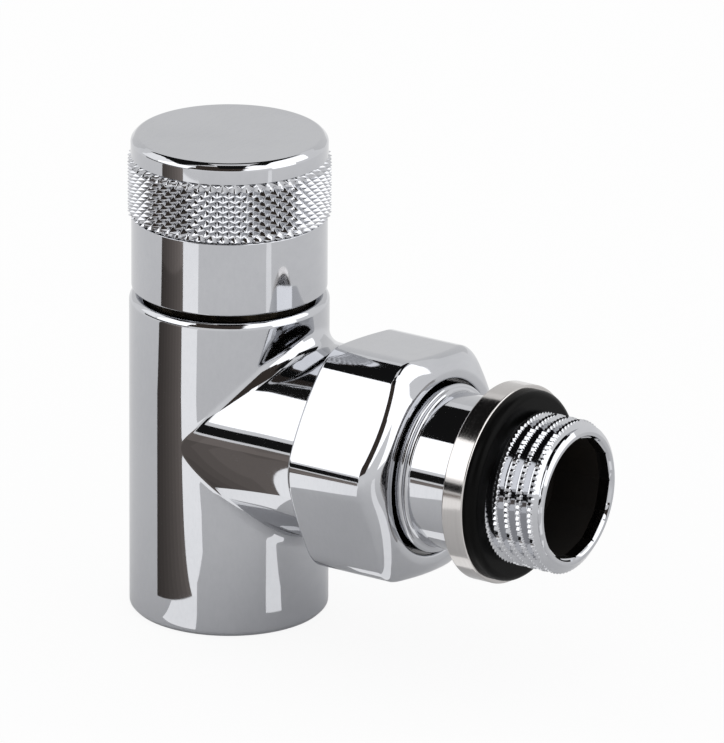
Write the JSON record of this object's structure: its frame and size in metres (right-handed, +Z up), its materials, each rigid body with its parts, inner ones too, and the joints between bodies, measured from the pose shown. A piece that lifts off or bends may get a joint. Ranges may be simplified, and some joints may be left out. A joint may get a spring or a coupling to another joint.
{
  "type": "shut-off valve",
  "caption": "Chrome angle shut-off valve: upright cylinder with a diamond-knurled hand knob, a side branch with a hexagon union nut, and a threaded tailpiece with a black seal.",
  "frame": {"origin": "centre of the bottom opening, on the face that the body stands on", "axes": "+Z up along the body and the spindle, +X out along the branch, the union nut and the outlet"},
  "size_m": [0.0701, 0.0338, 0.0676],
  "materials": {
    "chrome": "mirror-polished chrome plate",
    "satin_nickel": "satin, turned nickel plate",
    "brass": "plain turned brass",
    "black_rubber": "smooth moulded black rubber",
    "spring_steel": "bright drawn wire",
    "insert_plastic": "moulded dark plastic"
  },
  "bodies": {
    "body": {"valve_body": "chrome", "bonnet": "brass", "bonnet_seal": "black_rubber"},
    "plug_carrier": {"plug": "brass", "plug_washer": "black_rubber", "washer_plate": "brass", "plug_screw": "brass"},
    "knob": {"spindle": "brass", "spindle_seal_lower": "black_rubber", "spindle_seal_upper": "black_rubber", "plug_clip": "spring_steel", "knob_shell": "chrome", "knob_insert": "insert_plastic", "knob_spring_ring": "spring_steel"},
    "tail": {"tailpiece": "chrome", "tail_snap_ring": "spring_steel", "union_seal": "black_rubber", "collar_ring": "satin_nickel", "sealing_ring": "black_rubber"},
    "nut": {"union_nut": "chrome"}
  },
  "joints": [
    {"name": "plug_lift", "type": "slide", "parent": "body", "child": "plug_carrier", "axis": [0, 0, 1], "range_m": [0, 0.0045]},
    {"name": "knob_turn", "type": "hinge", "parent": "plug_carrier", "child": "knob", "pos_m": [0, 0, 0.05], "axis": [0, 0, 1], "range_deg": [0, 1080]},
    {"name": "tail_slide", "type": "slide", "parent": "body", "child": "tail", "axis": [1, 0, 0], "range_m": [0, 0.00907]},
    {"name": "nut_turn", "type": "hinge", "parent": "tail", "child": "nut", "pos_m": [0.027, 0, 0.0269], "axis": [1, 0, 0], "range_deg": [0, 1800]}
  ],
  "couplings": [
    {"joint": "plug_lift", "follows": "knob_turn", "m_per_rad": 0.00023873},
    {"joint": "tail_slide", "follows": "nut_turn", "m_per_rad": 0.00028871}
  ]
}
